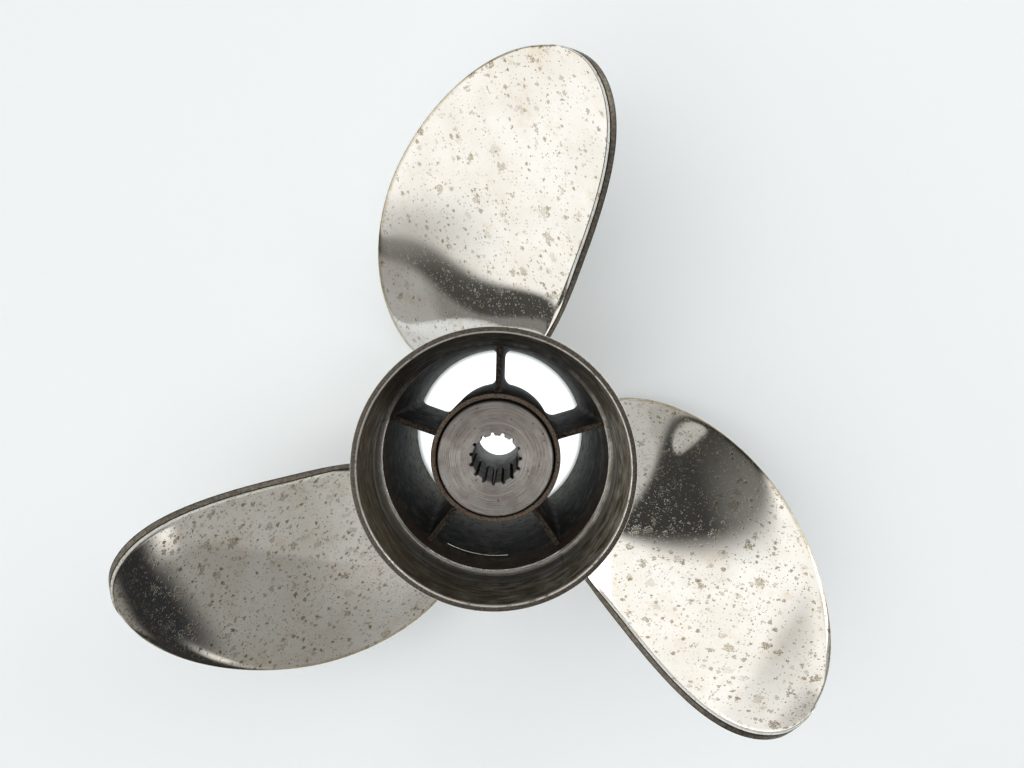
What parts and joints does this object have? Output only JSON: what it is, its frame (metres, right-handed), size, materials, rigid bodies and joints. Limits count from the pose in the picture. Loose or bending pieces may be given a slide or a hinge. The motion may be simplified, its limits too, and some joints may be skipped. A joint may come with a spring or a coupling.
{
  "type": "boat propeller",
  "caption": "Stainless steel outboard propeller, left-hand, with cupped blades on a through-hub exhaust barrel and a splined sleeve in a rubber bushing.",
  "frame": {"origin": "on the shaft axis, in the plane of the barrel's front end, which the propeller stands on", "axes": "+Z along the shaft axis, aft, towards the flared ring; +Y close to the first rib and the first blade; +X to its right seen from behind"},
  "size_m": [0.3367, 0.3135, 0.1385],
  "materials": {
    "polished_blade": "polished stainless steel, worn, with brown pits and rust specks",
    "hub_steel": "machined stainless steel with brown exhaust stain inside",
    "rough_cast": "rough cast stainless steel, dark with exhaust deposit",
    "machined_steel": "turned steel with fine concentric marks",
    "rubber": "matt black rubber"
  },
  "bodies": {
    "root": {"barrel": "rough_cast", "flared_ring": "hub_steel", "inner_hub": "rough_cast", "rubber_bushing": "rubber", "drive_sleeve": "machined_steel", "blade_1": "polished_blade", "blade_2": "polished_blade", "blade_3": "polished_blade", "rib_1": "rough_cast", "rib_2": "rough_cast", "rib_3": "rough_cast", "rib_4": "rough_cast", "rib_5": "rough_cast"}
  },
  "joints": []
}
